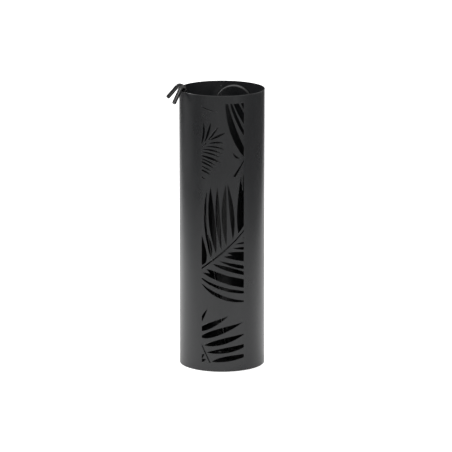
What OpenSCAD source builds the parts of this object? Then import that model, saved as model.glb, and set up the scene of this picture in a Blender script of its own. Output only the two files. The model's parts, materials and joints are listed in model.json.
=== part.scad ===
// Cylindrical umbrella stand of rolled sheet steel.
// The front of the tube carries a laser-cut window of palm fronds.
// A shallow drip tray stands on the base and is lifted out by a tall
// U-shaped strip handle, and a double umbrella hook on a long rod leans
// across the inside, from the tray to the left of the rim.
// Origin: floor level, on the tube's axis. +Z up, the window faces -Y.

/* [Tube] */
// Outer diameter of the tube
tube_d = 152; // [150:0.5:155]
// Height of the rim above the floor
stand_h = 500; // [492:1:510]
// Thickness of the tube's sheet
sheet_t = 1; // [0.8:0.1:1.2]
// Gap between the tube's lower edge and the floor
floor_gap = 1.2; // [0.8:0.1:1.5]

/* [Window] */
// Width of the cut window, measured along the curved sheet
window_w = 78; // [76:0.5:80]
// Uncut band above the window
top_margin = 14; // [13:0.5:16]
// Uncut band below the window
bottom_margin = 16.5; // [15:0.5:18]
// Straight pieces along each side of a cut leaf
leaf_steps = 7; // [6:1:10]

/* [Base] */
// Thickness of the base plate
base_t = 1.2; // [1:0.1:1.4]
// Height of the base plate's upturned flange
base_flange_h = 7; // [5:0.5:8]
// Diameter of the rubber pad under the base plate
pad_d = 132; // [120:1:140]
// Thickness of the rubber pad
pad_h = 2.6; // [2:0.1:3]

/* [Drip tray] */
// Outer diameter of the tray's wall
tray_d = 145; // [143:0.5:145.5]
// Height of the tray's wall
tray_h = 10.5; // [9:0.5:11]
// Thickness of the tray's sheet
tray_t = 0.9; // [0.8:0.1:1]

/* [Tray handle] */
// Width across the outside of the two legs
handle_w = 66; // [62:0.5:67]
// Width of the strip
strip_w = 12; // [10:0.5:13]
// Thickness of the strip
strip_t = 1.8; // [1.5:0.1:2]
// Height of the top of the arch above the floor
handle_top = 498; // [485:1:498]
// Length of the foot tabs on the tray's floor
tab_l = 20; // [18:1:22]
// Diameter of the rivet heads
rivet_head_d = 7; // [6:0.5:8]

/* [Umbrella hook] */
// Diameter of the round bar
rod_d = 7.6; // [7.2:0.1:7.8]
// Centreline radius of the bends over the rim
bend_r = 8; // [7.5:0.25:8.25]
// Diameter of the rubber cap under the rod
cap_d = 11; // [10.5:0.25:11.5]

/* [Hidden] */

coat = [0.13, 0.135, 0.14];
tray_coat = [0.17, 0.17, 0.18];
rubber = [0.05, 0.05, 0.05];
steel = [0.55, 0.56, 0.58];
fine = 96;

tube_r = tube_d / 2;
bore_r = tube_r - sheet_t;
base_z = pad_h;
rest_gap = 0.2;
tray_z = base_z + base_t + rest_gap;
tray_r = tray_d / 2;
tray_floor = tray_z + tray_t;
tray_bore_r = tray_r - tray_t;

// Middle of the handle's arch in plan, and its turn about +Z
handle_at = [22, 39.5];
handle_turn = -6;
rivet_pitch = 9;
rivet_d = 4;

// The rod's line: through the middle of its cap's dome, and through the tube's mouth
rod_foot = [9.3, 1.2, tray_floor + rest_gap + cap_d / 2];
rod_mouth = [-66.4, -19.7, stand_h];
rod_up = (rod_mouth - rod_foot) / norm(rod_mouth - rod_foot);
// Height of the cap above its dome's middle, and how far the rod reaches below it
cap_h = 10;
rod_sink = 1;
// Height at which each prong's line meets the rod's line, and each prong's tip
front_corner_z = stand_h + 14;
back_corner_z = stand_h + 19;
front_tip = [-85.4, -48.2, stand_h - 18];
back_tip = [-96.1, -7, stand_h - 14.7];

// ---------- palm fronds ----------
// Every leaf is [base, tip, left side, right side]: base and tip are points on
// the unrolled sheet, u to the right of the window's middle and z upwards.
// A side is [bulge, where]: how far it stands off the straight line from
// base to tip, to its left (-) or right (+), and where along that line it leans.

FROND_TOP = [
    [[62, 366], [4.5, 502], [-19.7, 0.44], [-7, 0.5]],
    [[62, 396.5], [8, 508], [-10.5, 0.5], [-4.5, 0.5]],
    [[70, 411.5], [10, 515], [-10.5, 0.5], [0.5, 0.5]],
    [[75, 421.5], [20, 512], [-5, 0.5], [7, 0.5]],
    [[32.5, 385.5], [17.8, 397.5], [-5.2, 0.45], [-1.6, 0.45]]];

FROND_SMALL = [
    [[-39.5, 408.5], [-35, 451], [0.3, 0.5], [4.4, 0.5]],
    [[-33, 414], [-21.5, 450.5], [-1.2, 0.5], [3.3, 0.5]],
    [[-28, 416], [-7, 444], [-1.2, 0.5], [1.8, 0.5]],
    [[-23.5, 418.5], [5.5, 433], [-2.4, 0.5], [2, 0.6]],
    [[-26, 412.3], [3.5, 413.8], [-3.8, 0.45], [-0.2, 0.45]],
    [[-32, 406], [5, 401], [-5.2, 0.5], [-2, 0.5]],
    [[-40, 401], [0.5, 394], [-5.2, 0.5], [-1.8, 0.5]],
    [[-42, 397], [-3, 388], [-4, 0.5], [-0.9, 0.5]],
    [[-44, 391], [-2, 378], [-4.4, 0.5], [0, 0.5]],
    [[-44, 385.5], [-11, 372.5], [-3.6, 0.5], [-0.6, 0.5]],
    [[-45, 381], [-15, 368.5], [-3.4, 0.5], [0.4, 0.5]],
    [[-44, 372.5], [-19, 363], [-2.4, 0.5], [0.3, 0.5]],
    [[-45, 366.5], [-21, 356.5], [-2.6, 0.5], [0.8, 0.5]],
    [[-45, 355], [-30.5, 347.5], [-1.2, 0.5], [0.8, 0.5]],
    [[-46, 480.5], [-8, 469], [0.4, 0.4], [2.4, 0.4]],
    [[-44, 468.5], [-28, 457], [-0.8, 0.5], [0.8, 0.5]]];

FROND_MIDDLE = [
    [[-42, 193], [-40.5, 252], [-2, 0.5], [12.8, 0]],
    [[-22, 209], [-29, 327.5], [-8.6, 0.55], [-4, 0.4]],
    [[-21, 208], [-28, 252], [-3, 0.35], [4.6, 0.35]],
    [[-12, 215], [-22, 335.5], [-8.6, 0.5], [3.4, 0.3]],
    [[-2.5, 221.5], [-9.5, 336], [-7, 0.5], [1.4, 0.3]],
    [[6.3, 228.5], [5.5, 340.5], [-8.2, 0.52], [0.8, 0.3]],
    [[18, 240], [8, 343.5], [-1.4, 0.4], [6.7, 0.38]],
    [[28, 250.5], [33.3, 355], [-4.4, 0.35], [5, 0.3]],
    [[28.5, 251], [38.6, 357], [-4, 0.5], [16, 0.36]],
    [[34, 242.5], [52, 240], [-1.3, 0.5], [1.2, 0.5]],
    [[21.5, 232.3], [60, 232], [-2.8, 0.5], [1.2, 0.5]],
    [[17, 225], [66, 220], [-3, 0.5], [2.3, 0.5]],
    [[7.5, 217], [80, 208], [-3.6, 0.25], [8, 0.45]],
    [[0.5, 210], [76, 194.5], [-8, 0.45], [2.4, 0.45]],
    [[-7.5, 203], [75, 181.5], [-1, 0.5], [5.6, 0.4]],
    [[-18.5, 197], [66, 168.5], [-4, 0.35], [4, 0.2]],
    [[-30, 187], [90, 140], [-3.2, 0.1], [9, 0.2]],
    [[-38.5, 180], [95, 143], [-8.5, 0.42], [7.2, 0.42]],
    [[-52, 178.5], [75, 140], [7.4, 0.32], [13.5, 0.4]],
    [[-41, 161], [54, 126.5], [6.4, 0.54], [13.4, 0.44]]];

FROND_LOW = [
    [[-47, 78], [-28, 114.5], [-3.2, 0.5], [1.8, 0.5]],
    [[-48, 72], [10, 102], [-4.8, 0.15], [5.6, 0.28]],
    [[-42, 62.5], [37.5, 89], [-5, 0.28], [7, 0.1]],
    [[-35, 47.5], [42.5, 68], [-4.4, 0.42], [6.4, 0.35]],
    [[-30, 35], [58, 50.3], [-3.2, 0.42], [6.8, 0.42]],
    [[-20, 18.5], [60, 30], [-6.4, 0.25], [3.6, 0.35]],
    [[-34, 32.5], [-50, 11.5], [-2.5, 0.3], [2.5, 0.3]],
    [[-31, 22.5], [-52, 13.5], [-3, 0.3], [2.5, 0.3]]];

// A stem is [start, end, width at start, width at end, sag]
STEMS = [
    [[20.2, 353], [40, 382.5], 4.4, 2, 0],
    [[-41, 403], [-30, 413], 1, 2.4, 0],
    [[-42, 185], [42, 258], 2.8, 2.2, 2.4],
    [[-40.5, 50.5], [-22, 14], 1.6, 2, 0]];

// The bar of sheet left between the two tips at the window's right edge
TIP_BAR = [[36.4, 328], [36.6, 358], 1.5, 1.3, 0];

function lerp(a, b, t) = a + (b - a) * t;
// Unit vector to the right of the line from a to b
function right_of(a, b) = [b.y - a.y, a.x - b.x] / norm(b - a);
// Point on a leaf's side: a quadratic arc from base to tip
function on_side(base, tip, side, t) =
    let (ctrl = lerp(base, tip, side[1]) + right_of(base, tip) * 2 * side[0])
    base * (1 - t) * (1 - t) + ctrl * 2 * t * (1 - t) + tip * t * t;
function leaf_outline(leaf, n = leaf_steps) = concat(
    [for (i = [0 : n]) on_side(leaf[0], leaf[1], leaf[2], i / n)],
    [for (i = [n - 1 : -1 : 1]) on_side(leaf[0], leaf[1], leaf[3], i / n)]);
function on_stem(stem, t, s) =
    on_side(stem[0], stem[1], [stem[4], 0.5], t)
    + right_of(stem[0], stem[1]) * s * lerp(stem[2], stem[3], t) / 2;
function stem_outline(stem, n = 4) = concat(
    [for (i = [0 : n]) on_stem(stem, i / n, -1)],
    [for (i = [n : -1 : 0]) on_stem(stem, i / n, 1)]);

// The fronds are drawn between these two heights and stretched to fill the window
drawn_low = 16;
drawn_high = 484;
window_h = stand_h - top_margin - bottom_margin;
function stretched(z) = bottom_margin + (z - drawn_low) * window_h / (drawn_high - drawn_low);
// Sideways place on the sheet to sideways place in front view, once rolled to tube_r
function rolled(u) = tube_r * sin(u / tube_r * 180 / PI);
function front_view(outline) = [for (p = outline) [rolled(p.x), stretched(p.y)]];
function leaves() = concat(FROND_TOP, FROND_SMALL, FROND_MIDDLE, FROND_LOW);

module fronds_front_view() {
    intersection() {
        translate([-rolled(window_w / 2), bottom_margin])
            square([2 * rolled(window_w / 2), window_h]);
        difference() {
            union() {
                for (leaf = leaves()) polygon(front_view(leaf_outline(leaf)));
                for (stem = STEMS) polygon(front_view(stem_outline(stem)));
            }
            polygon(front_view(stem_outline(TIP_BAR)));
        }
    }
}

// ---------- fixed parts ----------

module tube_shell() color(coat)
    difference() {
        translate([0, 0, floor_gap])
            cylinder(h = stand_h - floor_gap, r = tube_r, $fn = fine);
        translate([0, 0, floor_gap - 1])
            cylinder(h = stand_h, r = bore_r, $fn = fine);
        translate([0, 0, stand_h - 1])
            cylinder(h = 2, r = bore_r, $fn = fine);
        translate([0, -tube_r / 2, 0])
            rotate([90, 0, 0])
                linear_extrude(tube_r)
                    fronds_front_view();
    }

// Bead of the butt weld that closes the rolled sheet, inside at the back
module seam_weld() color(coat) {
    bead_w = 4;
    bead_t = 0.6;
    foot = base_z + base_flange_h + 3;
    intersection() {
        difference() {
            translate([0, 0, foot])
                cylinder(h = stand_h - 8 - foot, r = bore_r, $fn = fine);
            translate([0, 0, foot - 1])
                cylinder(h = stand_h, r = bore_r - bead_t, $fn = fine);
        }
        translate([-bead_w / 2, 0, 0])
            cube([bead_w, tube_r, stand_h]);
    }
}

// Pressed disc whose flange is spot-welded inside the tube
module base_plate() color(coat)
    difference() {
        translate([0, 0, base_z])
            cylinder(h = base_flange_h, r = bore_r, $fn = fine);
        translate([0, 0, base_z + base_t])
            cylinder(h = base_flange_h, r = bore_r - base_t, $fn = fine);
    }

// Rubber pad bonded under the base plate; the stand rests on it
module base_pad() color(rubber) {
    chamfer = 0.8;
    rotate_extrude($fn = fine)
        polygon([[0, 0], [pad_d / 2 - chamfer, 0], [pad_d / 2, chamfer],
                 [pad_d / 2, pad_h], [0, pad_h]]);
}

// ---------- drip tray and its handle ----------

module drip_tray() color(tray_coat) {
    corner = 2;
    difference() {
        translate([0, 0, tray_z])
            rotate_extrude($fn = fine) {
                square([tray_r - corner, tray_h]);
                translate([0, corner])
                    square([tray_r, tray_h - corner]);
                translate([tray_r - corner, corner])
                    circle(r = corner, $fn = 32);
            }
        translate([0, 0, tray_floor])
            cylinder(h = tray_h, r = tray_bore_r, $fn = fine);
        for (s = [-1, 1]) tab_holes(s, tray_z - 1, 4);
    }
}

// Places of the two rivets in each foot tab, along the strip
module at_rivets(side_x) {
    tab_middle = side_x * (handle_w / 2 - strip_t - tab_l / 2);
    for (s = [-1, 1])
        translate([handle_at.x, handle_at.y, 0])
            rotate([0, 0, handle_turn])
                translate([tab_middle + s * rivet_pitch / 2, 0, 0])
                    children();
}

module tab_holes(side_x, z, h)
    at_rivets(side_x)
        translate([0, 0, z])
            cylinder(h = h, d = rivet_d, $fn = 32);

// Side view of the strip: a tall U with a foot tab turned in at each end
module handle_outline() {
    arch_r = handle_w / 2;
    arch_z = handle_top - arch_r;
    inner_r = arch_r - strip_t;
    between_tabs = 2 * (inner_r - tab_l);
    difference() {
        union() {
            translate([0, arch_z]) circle(r = arch_r, $fn = fine);
            translate([-arch_r, tray_floor]) square([handle_w, arch_z - tray_floor]);
        }
        translate([0, arch_z]) circle(r = inner_r, $fn = fine);
        translate([-inner_r, tray_floor + strip_t])
            square([2 * inner_r, arch_z - tray_floor - strip_t]);
        translate([-between_tabs / 2, tray_floor - 1])
            square([between_tabs, strip_t + 2]);
    }
}

module tray_handle() color(coat)
    difference() {
        translate([handle_at.x, handle_at.y, 0])
            rotate([0, 0, handle_turn])
                translate([0, strip_w / 2, 0])
                    rotate([90, 0, 0])
                        linear_extrude(strip_w) handle_outline();
        for (s = [-1, 1]) tab_holes(s, tray_floor - 1, strip_t + 2);
    }

// Two rivets with a domed head above the tab, flush under the tray
module rivets(side_x) color(steel) {
    head_h = 1.8;
    head_z = tray_floor + strip_t;
    dome_r = (rivet_head_d * rivet_head_d / 4 + head_h * head_h) / (2 * head_h);
    at_rivets(side_x) {
        translate([0, 0, tray_z])
            cylinder(h = head_z - tray_z, d = rivet_d, $fn = 32);
        intersection() {
            translate([0, 0, head_z + head_h - dome_r])
                sphere(r = dome_r, $fn = 48);
            translate([0, 0, head_z])
                cylinder(h = head_h, d = rivet_head_d + 1, $fn = 48);
        }
    }
}

// ---------- umbrella hook ----------

function unit(v) = v / norm(v);
function at_height(z) = rod_foot + rod_up * ((z - rod_foot.z) / rod_up.z);

// Turns +Z to the direction v
module aim(v)
    rotate([0, acos(unit(v).z), atan2(v.y, v.x)])
        children();

// Bend from the line a-c into the line c-b, rounded to radius bend_r
function to_a(bend) = unit(bend[0] - bend[1]);
function to_b(bend) = unit(bend[2] - bend[1]);
function half_angle(bend) = acos(to_a(bend) * to_b(bend)) / 2;
function tangent_length(bend) = bend_r / tan(half_angle(bend));
function bend_start(bend) = bend[1] + to_a(bend) * tangent_length(bend);

// Stops along the bend and on to its tip, each a place and a direction
function prong_stops(bend, steps = 12) =
    let (half = half_angle(bend),
         turn = 180 - 2 * half,
         centre = bend[1] + unit(to_a(bend) + to_b(bend)) * bend_r / sin(half),
         spoke = unit(bend_start(bend) - centre),
         ahead = -to_a(bend))
    concat([for (i = [0 : steps])
                let (a = turn * i / steps)
                [centre + (spoke * cos(a) + ahead * sin(a)) * bend_r,
                 ahead * cos(a) - spoke * sin(a)]],
           [[bend[2], to_b(bend)]]);

// Round bar through the stops: a ring of points square to the path at each
module swept_bar(stops, sides = 24) {
    axis = unit(cross(stops[0][1], stops[len(stops) - 2][1]));
    last = len(stops) - 1;
    points = [for (stop = stops)
                  let (out = cross(stop[1], axis))
                  for (k = [0 : sides - 1])
                      let (a = 360 * k / sides)
                      stop[0] + (out * cos(a) + axis * sin(a)) * rod_d / 2];
    walls = [for (i = [0 : last - 1])
                 for (k = [0 : sides - 1])
                     let (next = (k + 1) % sides)
                     [i * sides + next, i * sides + k,
                      (i + 1) * sides + k, (i + 1) * sides + next]];
    ends = [[for (k = [0 : sides - 1]) k],
            [for (k = [sides - 1 : -1 : 0]) last * sides + k]];
    polyhedron(points, concat(walls, ends));
}

front_bend = [rod_foot, at_height(front_corner_z), front_tip];
back_bend = [rod_foot, at_height(back_corner_z), back_tip];

// Straight length of the rod, from its rubber cap up to the bend
module hook_shaft() color(coat) {
    lower = rod_foot - rod_up * rod_sink;
    translate(lower) aim(rod_up)
        cylinder(h = norm(bend_start(front_bend) - lower), d = rod_d, $fn = 48);
}

// The rod's end, bent over the rim
module hook_prong_front() color(coat)
    swept_bar(prong_stops(front_bend));

// The second prong, let into the first and welded in its bend
module hook_prong_back() color(coat)
    swept_bar(prong_stops(back_bend));

// Rubber cap with a domed underside, so that it stands at any lean
module shaft_cap() color(rubber)
    translate(rod_foot) aim(rod_up)
        rotate_extrude($fn = 48)
            difference() {
                union() {
                    square([cap_d / 2, cap_h]);
                    intersection() {
                        circle(d = cap_d, $fn = 48);
                        translate([0, -cap_d])
                            square(cap_d);
                    }
                }
                translate([0, -rod_sink])
                    square([rod_d / 2, cap_h + 2 * rod_sink]);
            }

tube_shell();
seam_weld();
base_plate();
base_pad();
drip_tray();
tray_handle();
rivets(-1);  // rivets_left
rivets(1);  // rivets_right
hook_shaft();
hook_prong_front();
hook_prong_back();
shaft_cap();
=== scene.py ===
"""Looks of the cylindrical umbrella stand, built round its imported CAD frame."""
import json
import math

import bpy
from mathutils import Matrix, Vector


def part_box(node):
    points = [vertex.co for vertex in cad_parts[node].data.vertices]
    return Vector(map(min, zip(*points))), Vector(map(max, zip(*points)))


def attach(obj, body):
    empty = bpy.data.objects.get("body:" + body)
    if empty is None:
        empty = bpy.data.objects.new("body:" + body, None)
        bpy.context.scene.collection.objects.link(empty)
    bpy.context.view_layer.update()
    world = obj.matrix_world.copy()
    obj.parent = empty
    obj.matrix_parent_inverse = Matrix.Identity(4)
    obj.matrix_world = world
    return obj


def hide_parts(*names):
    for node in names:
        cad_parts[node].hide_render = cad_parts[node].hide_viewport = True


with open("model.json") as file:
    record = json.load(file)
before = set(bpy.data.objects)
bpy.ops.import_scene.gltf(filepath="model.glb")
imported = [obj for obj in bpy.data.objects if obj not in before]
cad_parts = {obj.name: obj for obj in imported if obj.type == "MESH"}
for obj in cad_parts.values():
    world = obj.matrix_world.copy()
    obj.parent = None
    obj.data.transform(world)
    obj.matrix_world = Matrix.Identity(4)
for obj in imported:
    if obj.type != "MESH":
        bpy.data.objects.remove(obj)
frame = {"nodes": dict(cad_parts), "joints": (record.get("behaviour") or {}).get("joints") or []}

MM = 0.001
TAU = 2 * math.pi
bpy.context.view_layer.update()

tube_low, tube_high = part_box("tube_shell")
TUBE_R = (tube_high.x - tube_low.x) / 2
SHEET_T = 1 * MM
BORE_R = TUBE_R - SHEET_T
RIM_Z = tube_high.z
FOOT_Z = tube_low.z


# ---------- camera ----------

CAMERA_AZIMUTH = math.radians(-1.13)
CAMERA_DISTANCE = 6.188
CAMERA_HEIGHT = 1.6443
CAMERA_LENS = 283.0
SENSOR = 36
# The picture's middle lies this far right of the tube's axis, and this high
AIM_RIGHT = 0.0071
AIM_HEIGHT = 0.25


def add_camera():
    across = Vector((math.cos(CAMERA_AZIMUTH), math.sin(CAMERA_AZIMUTH), 0))
    away = Vector((-math.sin(CAMERA_AZIMUTH), math.cos(CAMERA_AZIMUTH), 0))
    data = bpy.data.cameras.new("camera")
    data.sensor_width = SENSOR
    data.lens = CAMERA_LENS
    data.clip_end = 50
    camera = bpy.data.objects.new("camera", data)
    bpy.context.collection.objects.link(camera)
    camera.location = -away * CAMERA_DISTANCE + Vector((0, 0, CAMERA_HEIGHT))
    aim = across * AIM_RIGHT + Vector((0, 0, AIM_HEIGHT))
    camera.rotation_euler = (aim - camera.location).to_track_quat("-Z", "Y").to_euler()
    bpy.context.scene.camera = camera


add_camera()


# ---------- studio ----------

def add_light(name, place, target, size, power):
    data = bpy.data.lights.new(name, "AREA")
    data.shape = "RECTANGLE"
    data.size, data.size_y = size
    data.energy = power
    light = bpy.data.objects.new(name, data)
    bpy.context.collection.objects.link(light)
    light.location = place
    direction = Vector(target) - Vector(place)
    light.rotation_euler = direction.to_track_quat("-Z", "Y").to_euler()


def add_world():
    """Plain white to the camera.

    As a light it is a white sky that dims below the horizon and towards the back, with a little
    more light from the front.
    """
    world = bpy.data.worlds.new("studio")
    world.use_nodes = True
    nodes, links = world.node_tree.nodes, world.node_tree.links
    place = nodes.new("ShaderNodeTexCoord")
    split = nodes.new("ShaderNodeSeparateXYZ")
    links.new(place.outputs["Generated"], split.inputs[0])

    def ramp(source, start, end, low, high):
        node = nodes.new("ShaderNodeMapRange")
        node.interpolation_type = "SMOOTHSTEP"
        node.inputs["From Min"].default_value = start
        node.inputs["From Max"].default_value = end
        node.inputs["To Min"].default_value = low
        node.inputs["To Max"].default_value = high
        links.new(source, node.inputs["Value"])
        return node.outputs["Result"]

    def combine(operation, a, b):
        node = nodes.new("ShaderNodeMath")
        node.operation = operation
        links.new(a, node.inputs[0])
        links.new(b, node.inputs[1])
        return node.outputs["Value"]

    sky = ramp(split.outputs["Z"], -0.05, 0.35, 0.2, 1.0)
    behind = ramp(split.outputs["Y"], 0.2, 0.8, 1.0, 0.5)
    front = ramp(split.outputs["Y"], -1.0, -0.3, 0.34, 0.0)
    lighting = combine("ADD", combine("MULTIPLY", sky, behind), front)
    seen = nodes.new("ShaderNodeLightPath").outputs["Is Camera Ray"]
    strength = combine("MAXIMUM", lighting, seen)
    background = nodes["Background"]
    background.inputs["Color"].default_value = (1, 1, 1, 1)
    links.new(strength, background.inputs["Strength"])
    bpy.context.scene.world = world
    bpy.context.scene.view_settings.view_transform = "Standard"


def add_floor():
    """Pale floor that glows a little, and more to the camera, so that it looks plain white."""
    left, right, front, back = -1, 1, -0.95, 6
    paleness = 0.96
    glow_as_light = 0.1
    glow_to_camera = 0.7
    mesh = bpy.data.meshes.new("floor")
    mesh.from_pydata([(left, front, 0), (right, front, 0), (right, back, 0), (left, back, 0)],
                     [], [(0, 1, 2, 3)])
    floor = bpy.data.objects.new("floor", mesh)
    bpy.context.collection.objects.link(floor)
    material = bpy.data.materials.new("pale_floor")
    material.use_nodes = True
    shader = material.node_tree.nodes["Principled BSDF"]
    shader.inputs["Base Color"].default_value = (paleness, paleness, paleness, 1)
    shader.inputs["Roughness"].default_value = 0.9
    shader.inputs["Emission Color"].default_value = (1, 1, 1, 1)
    nodes, links = material.node_tree.nodes, material.node_tree.links
    seen = nodes.new("ShaderNodeLightPath")
    glow = nodes.new("ShaderNodeMapRange")
    glow.inputs["To Min"].default_value = glow_as_light
    glow.inputs["To Max"].default_value = glow_to_camera
    links.new(seen.outputs["Is Camera Ray"], glow.inputs["Value"])
    links.new(glow.outputs["Result"], shader.inputs["Emission Strength"])
    mesh.materials.append(material)


def add_studio():
    add_world()
    add_floor()
    middle = (0, 0, RIM_Z / 2)
    rim = (0, 0, RIM_Z)
    add_light("side_left", (-1.9, 0.5, 0.25), rim, (1.3, 0.5), 0.7)
    add_light("key_left", (-1.7, 0.5, 1.5), rim, (0.7, 0.7), 26)
    add_light("softbox_above", (0.75, -0.6, 2.45), rim, (0.8, 0.8), 14)
    add_light("fill_right", (1.3, -1.7, 0.5), middle, (0.3, 0.9), 0.6)
    add_light("overhead", (0.2, 0.9, 2.4), middle, (2.4, 2.4), 5)


add_studio()


# ---------- materials ----------

def coat_material(name, colour, roughness, grain=0.6 * MM, relief=0.03 * MM, spread=0.12,
                  metallic=0.0, patch=40 * MM, streak=1.0, shine=0.5):
    """Sprayed or moulded surface: fine grain in its relief, slow drifts in its colour and gloss.

    grain is the size of the texture's pimples and relief their height. spread is how far colour
    and roughness drift over patches of the size patch, and streak stretches those patches
    upwards. shine is how much the surface mirrors, 0.5 for common lacquer.
    """
    material = bpy.data.materials.new(name)
    material.use_nodes = True
    nodes, links = material.node_tree.nodes, material.node_tree.links
    shader = nodes["Principled BSDF"]
    shader.inputs["Metallic"].default_value = metallic
    shader.inputs["Specular IOR Level"].default_value = shine
    place = nodes.new("ShaderNodeTexCoord")
    stretch = nodes.new("ShaderNodeMapping")
    stretch.inputs["Scale"].default_value = (1, 1, 1 / streak)
    links.new(place.outputs["Object"], stretch.inputs["Vector"])

    drift = nodes.new("ShaderNodeTexNoise")
    drift.inputs["Scale"].default_value = 1 / patch
    drift.inputs["Detail"].default_value = 4
    links.new(stretch.outputs["Vector"], drift.inputs["Vector"])
    fine = nodes.new("ShaderNodeTexNoise")
    fine.inputs["Scale"].default_value = 1 / grain
    fine.inputs["Detail"].default_value = 2
    links.new(place.outputs["Object"], fine.inputs["Vector"])

    tint = nodes.new("ShaderNodeMixRGB")
    tint.inputs["Color1"].default_value = (*[c * (1 - spread) for c in colour], 1)
    tint.inputs["Color2"].default_value = (*[c * (1 + spread) for c in colour], 1)
    links.new(drift.outputs["Fac"], tint.inputs["Fac"])
    links.new(tint.outputs["Color"], shader.inputs["Base Color"])

    gloss = nodes.new("ShaderNodeMapRange")
    gloss.inputs["From Min"].default_value = 0.3
    gloss.inputs["From Max"].default_value = 0.7
    gloss.inputs["To Min"].default_value = roughness * (1 - spread)
    gloss.inputs["To Max"].default_value = roughness * (1 + spread)
    links.new(drift.outputs["Fac"], gloss.inputs["Value"])
    links.new(gloss.outputs["Result"], shader.inputs["Roughness"])

    bump = nodes.new("ShaderNodeBump")
    bump.inputs["Strength"].default_value = 1
    bump.inputs["Distance"].default_value = relief
    links.new(fine.outputs["Fac"], bump.inputs["Height"])
    links.new(bump.outputs["Normal"], shader.inputs["Normal"])
    return material


BLACK_COAT = coat_material("powder_coat", (0.0085, 0.009, 0.010), 0.3, streak=2.5)
TRAY_COAT = coat_material("tray_coat", (0.014, 0.0145, 0.015), 0.5)
STRIP_COAT = coat_material("strip_coat", (0.022, 0.022, 0.023), 0.4, grain=0.5 * MM)
HOOK_COAT = coat_material("hook_coat", (0.003, 0.003, 0.0033), 0.2, grain=0.9 * MM,
                          relief=0.015 * MM, shine=0.4)
RUBBER = coat_material("rubber", (0.012, 0.012, 0.012), 0.75, grain=0.25 * MM, relief=0.02 * MM)
RIVET_STEEL = coat_material("rivet_steel", (0.52, 0.52, 0.53), 0.38, grain=0.2 * MM,
                            relief=0.004 * MM, metallic=1.0)
MATERIALS = {"black_coat": BLACK_COAT, "tray_coat": TRAY_COAT, "strip_coat": STRIP_COAT,
             "hook_coat": HOOK_COAT, "rubber": RUBBER, "rivet_steel": RIVET_STEEL}


# ---------- mesh tools ----------

def add_piece(name, points, faces, body, slot, stands_for=(), crease=40):
    """Makes one closed mesh that rides on a body, shaded smooth but for its sharp edges."""
    mesh = bpy.data.meshes.new(name)
    mesh.from_pydata([tuple(p) for p in points], [], faces)
    mesh.validate()
    mesh.shade_smooth()
    mesh.set_sharp_from_angle(angle=math.radians(crease))
    mesh.materials.append(MATERIALS[slot])
    piece = bpy.data.objects.new(name, mesh)
    bpy.context.collection.objects.link(piece)
    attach(piece, body)
    if stands_for:
        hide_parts(*stands_for)
    return piece


def ring_faces(rings, sides, closed=False):
    """Faces that join rings of points in order, closed by end caps or in a loop."""
    faces = []
    for i in range(rings if closed else rings - 1):
        here, ahead = i * sides, (i + 1) % rings * sides
        for k in range(sides):
            after = (k + 1) % sides
            faces.append((here + k, here + after, ahead + after, ahead + k))
    if not closed:
        faces.append(tuple(range(sides - 1, -1, -1)))
        faces.append(tuple((rings - 1) * sides + k for k in range(sides)))
    return faces


def lathed(profile, steps=96, place=None):
    """Closed profile of (radius, height) points, anticlockwise, turned round the Z axis."""
    place = place or Matrix.Identity(4)
    points = []
    for i in range(steps):
        angle = TAU * i / steps
        for radius, height in profile:
            spot = Vector((radius * math.cos(angle), radius * math.sin(angle), height))
            points.append(place @ spot)
    count = len(profile)
    faces = []
    for i in range(steps):
        here, ahead = i * count, (i + 1) % steps * count
        for k in range(count):
            after = (k + 1) % count
            on_axis = profile[k][0] < 1e-9, profile[after][0] < 1e-9
            if all(on_axis):
                continue
            corners = [here + k, ahead + k, ahead + after, here + after]
            if on_axis[0]:
                corners.remove(ahead + k)
            if on_axis[1]:
                corners.remove(ahead + after)
            faces.append(tuple(corners))
    return merge_axis(points, faces)


def merge_axis(points, faces):
    """Joins points that share a place, so that a lathed mesh is closed on its axis."""
    index, kept, moved = {}, [], []
    for p in points:
        key = (round(p.x, 8), round(p.y, 8), round(p.z, 8))
        if key not in index:
            index[key] = len(kept)
            kept.append(p)
        moved.append(index[key])
    return kept, [tuple(moved[i] for i in face) for face in faces]


def arc(centre, radius, start, end, steps=6):
    """Points along an arc, its angles in degrees."""
    angles = [math.radians(start + (end - start) * i / steps) for i in range(steps + 1)]
    return [(centre[0] + radius * math.cos(a), centre[1] + radius * math.sin(a)) for a in angles]


def rod_mesh(path, radii, sides=32):
    """Round bar along a path in one plane, with a radius at each of its points."""
    start = (path[1] - path[0]).normalized()
    end = (path[-1] - path[-2]).normalized()
    across = start.cross(end)
    if across.length < 1e-6:
        across = start.orthogonal()
    across.normalize()
    points = []
    for i, p in enumerate(path):
        behind = (p - path[i - 1]).normalized() if i else start
        ahead = (path[i + 1] - p).normalized() if i < len(path) - 1 else end
        out = (behind + ahead).normalized().cross(across)
        for k in range(sides):
            a = TAU * k / sides
            points.append(p + (out * math.cos(a) + across * math.sin(a)) * radii[i])
    return points, ring_faces(len(path), sides)


# ---------- tube ----------

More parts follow.
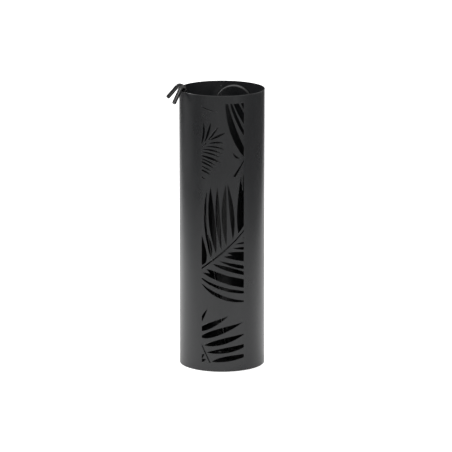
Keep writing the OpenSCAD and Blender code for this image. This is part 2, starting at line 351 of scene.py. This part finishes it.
def cut_outlines():
    """Loops of points where the fronds' cuts leave the outside of the tube."""
    mesh = frame["nodes"]["tube_shell"].data
    places, ids = {}, []
    for vertex in mesh.vertices:
        key = tuple(round(c, 6) for c in vertex.co)
        ids.append(places.setdefault(key, len(places)))
    spots = [Vector(key) for key in places]
    margin = 8 * MM
    skin_depth = 0.05 * MM
    skin_facing = 0.8

    def outside(i):
        radius = math.hypot(spots[i].x, spots[i].y)
        return radius > TUBE_R - skin_depth and FOOT_Z + margin < spots[i].z < RIM_Z - margin

    wall_edges, skin_edges = set(), set()
    for polygon in mesh.polygons:
        corners = [ids[v] for v in polygon.vertices]
        middle = sum((spots[i] for i in corners), Vector()) / len(corners)
        radial = Vector((middle.x, middle.y, 0)).normalized()
        is_skin = polygon.normal.dot(radial) > skin_facing
        for a, b in zip(corners, corners[1:] + corners[:1]):
            if a != b and outside(a) and outside(b):
                (skin_edges if is_skin else wall_edges).add(frozenset((a, b)))
    links = {}
    for a, b in (tuple(edge) for edge in wall_edges & skin_edges):
        links.setdefault(a, []).append(b)
        links.setdefault(b, []).append(a)
    loops, used = [], set()
    for first in sorted(links, key=lambda i: tuple(spots[i])):
        if first in used or len(links[first]) != 2:
            continue
        loop, here = [first], min(links[first])
        used.add(first)
        while here not in used and len(links[here]) == 2:
            used.add(here)
            loop.append(here)
            onward = [i for i in links[here] if i not in used]
            if not onward:
                break
            here = min(onward)
        if len(loop) > 5 and loop[-1] in links[first]:
            loops.append([spots[i] for i in loop])
    return loops


def signed_area(loop):
    """Area of a loop on the tube's skin, positive if it runs anticlockwise seen from outside."""
    flat = [(TUBE_R * math.atan2(p.x, -p.y), p.z) for p in loop]
    return sum(a[0] * b[1] - b[0] * a[1] for a, b in zip(flat, flat[1:] + flat[:1])) / 2


def add_cut_edges():
    """Swelling of the powder coat along every cut edge: a thin bead, set back in the sheet."""
    bead_r = 0.28 * MM
    set_back = 0.2 * MM
    sunk = 0.1 * MM
    shortest = 0.2 * MM
    sides = 6
    points, faces = [], []
    for loop in cut_outlines():
        rings = []
        for p in loop:
            if not rings or (p - rings[-1]).length > shortest:
                rings.append(p)
        base = len(points)
        shift = set_back if signed_area(loop) > 0 else -set_back
        for i, p in enumerate(rings):
            along = (rings[(i + 1) % len(rings)] - rings[i - 1]).normalized()
            out = Vector((p.x, p.y, 0)).normalized()
            side = along.cross(out).normalized()
            centre = p + side * shift - out * sunk
            for k in range(sides):
                a = TAU * k / sides
                points.append(centre + (out * math.cos(a) + side * math.sin(a)) * bead_r)
        loop_faces = ring_faces(len(rings), sides, closed=True)
        faces += [tuple(base + v for v in face) for face in loop_faces]
    add_piece("leaf_cut_edges", points, faces, "stand", "black_coat", crease=180)


def add_rims():
    """Deburred, coated edges at the tube's mouth and foot."""
    edge_r = 0.62 * MM
    sides = 12
    for name, z in (("mouth_edge", RIM_Z - SHEET_T / 2), ("foot_edge", FOOT_Z + SHEET_T / 2)):
        profile = arc(((TUBE_R + BORE_R) / 2, z), edge_r, 0, 360 - 360 / sides, sides - 1)
        points, faces = lathed(profile, steps=192)
        add_piece(name, points, faces, "stand", "black_coat", crease=180)


def add_seam_weld():
    """Rippled bead of the weld that closes the rolled sheet."""
    low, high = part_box("seam_weld")
    half_w = (high.x - low.x) / 2
    thick = 0.7 * MM
    ripple = 1.1 * MM
    steps = int((high.z - low.z) / (ripple / 4))
    # Steps over which each end of the bead narrows
    taper = 5
    sides = 8
    points = []
    for i in range(steps + 1):
        z = low.z + (high.z - low.z) * i / steps
        wave = abs(math.sin(math.pi * (z - low.z) / ripple))
        sway = 0.25 * MM * math.sin(z * 60) + 0.15 * MM * math.sin(z * 173)
        swell = min(1, i / taper, (steps - i) / taper) if 0 < i < steps else 0.25
        for k in range(sides):
            a = math.pi * k / (sides - 1)
            x = sway + half_w * (0.86 + 0.14 * wave) * math.cos(a) * swell
            depth = thick * (0.75 + 0.25 * wave) * math.sin(a) * swell
            wall = math.sqrt(BORE_R ** 2 - x * x)
            points.append(Vector((x, wall + 0.1 * MM - depth, z)))
    faces = ring_faces(steps + 1, sides)
    add_piece("seam_bead", points, faces, "stand", "black_coat", ("seam_weld",), crease=60)


def coat_tube():
    """The tube keeps its CAD mesh and gets the coat."""
    slots = frame["nodes"]["tube_shell"].data.materials
    slots.clear()
    slots.append(BLACK_COAT)


coat_tube()
add_cut_edges()
add_rims()
add_seam_weld()


# ---------- base ----------

def pressed_dish(name, outer_r, low_z, wall_h, thick, corner, relief, body, slot, node, bead=0.0):
    """Pressed sheet dish: a floor with its own relief, a rounded corner, a wall and a rolled lip."""
    turns = 160
    floor_r = outer_r - corner
    radii = [floor_r * i / 40 for i in range(41)]
    top_z = low_z + wall_h
    lip_r = bead or thick / 2
    middle_r = outer_r - thick / 2
    outer = [(r, low_z) for r in radii] + arc((floor_r, low_z + corner), corner, -90, 0)[1:]
    lip = arc((middle_r, top_z - lip_r), lip_r, -20 if bead else 0, 200 if bead else 180, 10)
    inner_corner = arc((floor_r, low_z + corner), corner - thick, 0, -90)
    inner = inner_corner + [(r, low_z + thick) for r in reversed(radii[:-1])]
    profile = outer + lip + inner
    points = []
    for i in range(turns):
        angle = TAU * i / turns
        for radius, z in profile:
            on_floor = radius <= floor_r and z < low_z + 1.5 * thick
            rise = relief(radius, angle) if on_floor else 0
            points.append(Vector((radius * math.cos(angle), radius * math.sin(angle), z + rise)))
    count = len(profile)
    faces = []
    for i in range(turns):
        here, ahead = i * count, (i + 1) % turns * count
        for k in range(count - 1):
            faces.append((here + k, ahead + k, ahead + k + 1, here + k + 1))
    points, faces = merge_axis(points, faces)
    faces = [tuple(dict.fromkeys(face)) for face in faces]
    faces = [face for face in faces if len(face) > 2]
    add_piece(name, points, faces, body, slot, (node,))


def bump_at(value, centre, half):
    """Smooth hump of height 1 round centre, gone at half either side."""
    t = abs(value - centre) / half
    return 0 if t >= 1 else 0.5 + 0.5 * math.cos(math.pi * t)


def base_relief(radius, angle):
    """Stiffening ring pressed up into the base plate."""
    height, ring_r, half_w = 0.15 * MM, 50 * MM, 5 * MM
    return height * bump_at(radius, ring_r, half_w)


def add_base():
    low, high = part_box("base_plate")
    sheet_t, corner = 1.2 * MM, 2 * MM
    pressed_dish("base_pressing", high.x, low.z, high.z - low.z, sheet_t, corner,
                 base_relief, "stand", "black_coat", "base_plate")


def add_pad():
    """Moulded rubber pad with a rounded edge and round grooves in its underside."""
    pad_r, pad_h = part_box("base_pad")[1].x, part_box("base_pad")[1].z
    edge = 0.8 * MM
    chamfer = 0.3 * MM
    groove_half, groove_depth = 1 * MM, 0.6 * MM
    profile = [(0, 0)]
    for i in range(7):
        r = (12 + 8 * i) * MM
        profile += [(r - groove_half, 0), (r - groove_half / 2, groove_depth),
                    (r + groove_half / 2, groove_depth), (r + groove_half, 0)]
    profile += arc((pad_r - edge, edge), edge, -90, 0)
    profile += [(pad_r, pad_h - chamfer), (pad_r - chamfer, pad_h), (0, pad_h)]
    points, faces = lathed(profile, 128)
    add_piece("rubber_pad", points, faces, "stand", "rubber", ("base_pad",))


add_base()
add_pad()


# ---------- drip tray ----------

HANDLE_TURN = math.radians(-6)
TAB_L = 20 * MM
RIVET_PITCH = 9 * MM
TRAY_T = 0.9 * MM

tray_low, tray_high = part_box("drip_tray")
tray_floor = tray_low.z + TRAY_T
handle_low, handle_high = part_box("tray_handle")
handle_middle = (handle_low + handle_high) / 2
handle_frame = (Matrix.Translation((handle_middle.x, handle_middle.y, 0))
                @ Matrix.Rotation(HANDLE_TURN, 4, "Z"))
box_w = handle_high.x - handle_low.x
box_d = handle_high.y - handle_low.y
cos_turn, sin_turn = math.cos(HANDLE_TURN), abs(math.sin(HANDLE_TURN))
HANDLE_W = (box_w * cos_turn - box_d * sin_turn) / math.cos(2 * HANDLE_TURN)
STRIP_W = (box_d * cos_turn - box_w * sin_turn) / math.cos(2 * HANDLE_TURN)
STRIP_T = 1.8 * MM


def tray_relief(radius, angle):
    """Raised ring round the rod's cap, and ribs over the front half that let water run off."""
    height = 0.7 * MM
    ring_r, ring_half = 19 * MM, 2.5 * MM
    rib_start, rib_end, rib_slope = 28 * MM, 62 * MM, 4 * MM
    rib_pitch, rib_half = 20, 3.2
    degrees = math.degrees(angle) % 360
    in_front = 185 < degrees < 355
    ring = bump_at(radius, ring_r, ring_half)
    rib = bump_at(degrees % rib_pitch, rib_pitch / 2, rib_half)
    rib *= min(1, max(0, (rib_end - radius) / rib_slope))
    rib *= min(1, max(0, (radius - rib_start) / rib_slope))
    return height * max(ring, rib if in_front else 0)


def add_tray():
    corner, rolled_lip = 2 * MM, 1.1 * MM
    pressed_dish("tray_pressing", tray_high.x, tray_low.z, tray_high.z - tray_low.z, TRAY_T,
                 corner, tray_relief, "tray", "tray_coat", "drip_tray", bead=rolled_lip)


def strip_path():
    """Middle line of the strip in the handle's own upright plane, from tab end to tab end."""
    leg_x = HANDLE_W / 2 - STRIP_T / 2
    arch_z = handle_high.z - HANDLE_W / 2
    foot_z = tray_floor + STRIP_T / 2
    bend = 2.4 * MM
    half = [(HANDLE_W / 2 - STRIP_T - TAB_L, foot_z)]
    half += arc((leg_x - bend, foot_z + bend), bend, -90, 0, 8)
    half += [(leg_x, foot_z + (arch_z - foot_z) * i / 6) for i in range(1, 6)]
    half += arc((0, arch_z), leg_x, 0, 90, 24)
    return half + [(-x, z) for x, z in reversed(half[:-1])]


def strip_section():
    """Flat bar with rounded corners: (across the bar, through it)."""
    corner = 0.55 * MM
    w, t = STRIP_W / 2 - corner, STRIP_T / 2 - corner
    section = []
    for centre, start in (((w, -t), -90), ((w, t), 0), ((-w, t), 90), ((-w, -t), 180)):
        section += arc(centre, corner, start, start + 90, 3)
    return section


def add_handle():
    path = strip_path()
    section = strip_section()
    points = []
    for i, (x, z) in enumerate(path):
        before = path[max(i - 1, 0)]
        after = path[min(i + 1, len(path) - 1)]
        along = Vector((after[0] - before[0], 0, after[1] - before[1])).normalized()
        through = Vector((along.z, 0, -along.x))
        for width, depth in section:
            points.append(handle_frame @ (Vector((x, width, z)) + through * depth))
    faces = ring_faces(len(path), len(section))
    add_piece("strip_handle", points, faces, "tray", "strip_coat", ("tray_handle",))


def add_rivets():
    """Blind rivets: a domed head with the hollow of its pulled pin, and a flush tail."""
    head_r, shank_r, pin_r = 3.5 * MM, 2 * MM, 1.1 * MM
    head_h, brim_h = 1.8 * MM, 0.3 * MM
    head_z = tray_floor + STRIP_T
    tail_z = tray_low.z + 0.05 * MM
    profile = [(0, tail_z), (shank_r, tail_z), (shank_r, head_z),
               (head_r, head_z), (head_r, head_z + brim_h)]
    for i in range(1, 9):
        r = head_r - (head_r - pin_r - 0.2 * MM) * i / 8
        dome = (head_h - brim_h) * math.sqrt(1 - (r / head_r) ** 2)
        profile.append((r, head_z + brim_h + dome))
    pit = head_z + head_h - 0.9 * MM
    profile += [(pin_r, head_z + head_h - 0.15 * MM), (pin_r, pit),
                (0.4 * MM, pit + 0.1 * MM), (0, pit + 0.25 * MM)]
    across = HANDLE_W / 2 - STRIP_T - TAB_L / 2
    for side, node in ((-1, "rivets_left"), (1, "rivets_right")):
        points, faces = [], []
        for shift in (-1, 1):
            spot = handle_frame @ Matrix.Translation((side * across + shift * RIVET_PITCH / 2, 0, 0))
            more, more_faces = lathed(profile, 48, spot)
            faces += [tuple(len(points) + v for v in face) for face in more_faces]
            points += more
        add_piece("blind_" + node, points, faces, "tray", "rivet_steel", (node,))


add_tray()
add_handle()
add_rivets()


# ---------- umbrella hook ----------

ROD_R = 3.8 * MM
BEND_R = 8 * MM
# Heights above the rim where the prongs' straight lines meet the rod's line
FRONT_CORNER = 14 * MM
BACK_CORNER = 19 * MM

rod_up = Vector(next(j["axis"] for j in frame["joints"] if j["name"] == "hook_lift")).normalized()


def rod_foot():
    """Lower end of the rod's centreline, from the straight bar's box and its lean."""
    low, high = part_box("hook_shaft")
    spread = [ROD_R * math.sqrt(1 - c * c) for c in rod_up]
    x = high.x - spread[0] if rod_up.x < 0 else low.x + spread[0]
    y = high.y - spread[1] if rod_up.y < 0 else low.y + spread[1]
    return Vector((x, y, low.z + spread[2]))


foot = rod_foot()


def prong_tip(node):
    """Middle of a prong's flat end: the points round the one farthest from the rod's line."""
    spots = {tuple(round(c, 6) for c in v.co) for v in frame["nodes"][node].data.vertices}
    spots = [Vector(s) for s in spots]
    far = max(spots, key=lambda p: (p - foot - rod_up * (p - foot).dot(rod_up)).length)
    end = [p for p in spots if (p - far).length < 2.05 * ROD_R]
    return sum(end, Vector()) / len(end)


def on_rod(height):
    """Point of the rod's centreline at a height."""
    return foot + rod_up * ((height - foot.z) / rod_up.z)


def bend_path(corner, tip, steps=16):
    """Points of the round bend that leaves the rod's line and turns towards the tip."""
    down = -rod_up
    out = (tip - corner).normalized()
    half = down.angle(out) / 2
    reach = BEND_R / math.tan(half)
    centre = corner + (down + out).normalized() * BEND_R / math.sin(half)
    spoke = corner + down * reach - centre
    turn_axis = spoke.cross(rod_up).normalized()
    turn = math.pi - 2 * half
    return [centre + Matrix.Rotation(turn * i / steps, 3, turn_axis) @ spoke
            for i in range(steps + 1)]


def chamfered(path, radius):
    """Adds the tip's chamfer to a path and gives the radii along it."""
    end = path[-1]
    along = (end - path[-2]).normalized()
    cut = 0.7 * MM
    path = path[:-1] + [end - along * 2 * cut, end - along * cut, end]
    radii = [radius] * (len(path) - 1) + [radius - 0.6 * cut]
    return path, radii


def add_hook():
    front_corner, back_corner = on_rod(RIM_Z + FRONT_CORNER), on_rod(RIM_Z + BACK_CORNER)
    front_tip, back_tip = prong_tip("hook_prong_front"), prong_tip("hook_prong_back")

    front_bend = bend_path(front_corner, front_tip)
    run = front_bend[0] - foot
    straight = [foot + run * t for t in (0, 0.2, 0.4, 0.6, 0.8)]
    path, radii = chamfered(straight + front_bend + [front_tip], ROD_R)
    points, faces = rod_mesh(path, radii)
    add_piece("hook_rod", points, faces, "hook", "hook_coat", ("hook_shaft", "hook_prong_front"))

    back_bend = bend_path(back_corner, back_tip)
    root = [front_bend[0] + rod_up * 1 * MM, front_bend[0] + rod_up * 3 * MM]
    path, radii = chamfered(root + back_bend + [back_tip], ROD_R)
    radii[0] = 0.7 * ROD_R
    radii[1] = 0.95 * ROD_R
    points, faces = rod_mesh(path, radii)
    add_piece("hook_second_prong", points, faces, "hook", "hook_coat", ("hook_prong_back",))
    add_weld(front_bend[0] + rod_up * 2.2 * MM)


def add_weld(middle):
    """Collar of weld where the second prong is let into the rod."""
    sides, rings = 10, 40
    bead = 0.9 * MM
    side = rod_up.orthogonal().normalized()
    other = rod_up.cross(side)
    points = []
    for i in range(rings):
        a = TAU * i / rings
        out = side * math.cos(a) + other * math.sin(a)
        lump = 1 + 0.16 * math.sin(9 * a) + 0.08 * math.sin(4 * a + 1)
        centre = middle + out * (ROD_R - 0.1 * MM) + rod_up * 0.35 * MM * math.sin(3 * a)
        for k in range(sides):
            b = TAU * k / sides
            points.append(centre + (out * math.cos(b) + rod_up * 1.6 * math.sin(b)) * bead * lump)
    faces = ring_faces(rings, sides, closed=True)
    add_piece("hook_weld", points, faces, "hook", "hook_coat", crease=180)


def add_cap():
    """Moulded rubber cap under the rod, with grip rings and a domed underside."""
    radius = 5.5 * MM
    height = 10 * MM
    groove = 0.45 * MM
    hole_r = ROD_R - 0.05 * MM
    hole_z = -0.8 * MM
    middle = foot + rod_up * 1 * MM
    place = Matrix.Translation(middle) @ rod_up.to_track_quat("Z", "Y").to_matrix().to_4x4()
    profile = arc((0, 0), radius, -90, 0, 10)
    for i in range(3):
        z = (1.4 + 2.2 * i) * MM
        profile += [(radius, z), (radius - groove, z + 0.4 * MM),
                    (radius - groove, z + 0.9 * MM), (radius, z + 1.3 * MM)]
    profile += arc((radius - 0.5 * MM, height - 0.5 * MM), 0.5 * MM, 0, 90, 4)
    profile += [(hole_r, height), (hole_r, hole_z), (0, hole_z)]
    points, faces = lathed(profile, 48, place)
    add_piece("rod_cap", points, faces, "hook", "rubber", ("shaft_cap",))


add_hook()
add_cap()
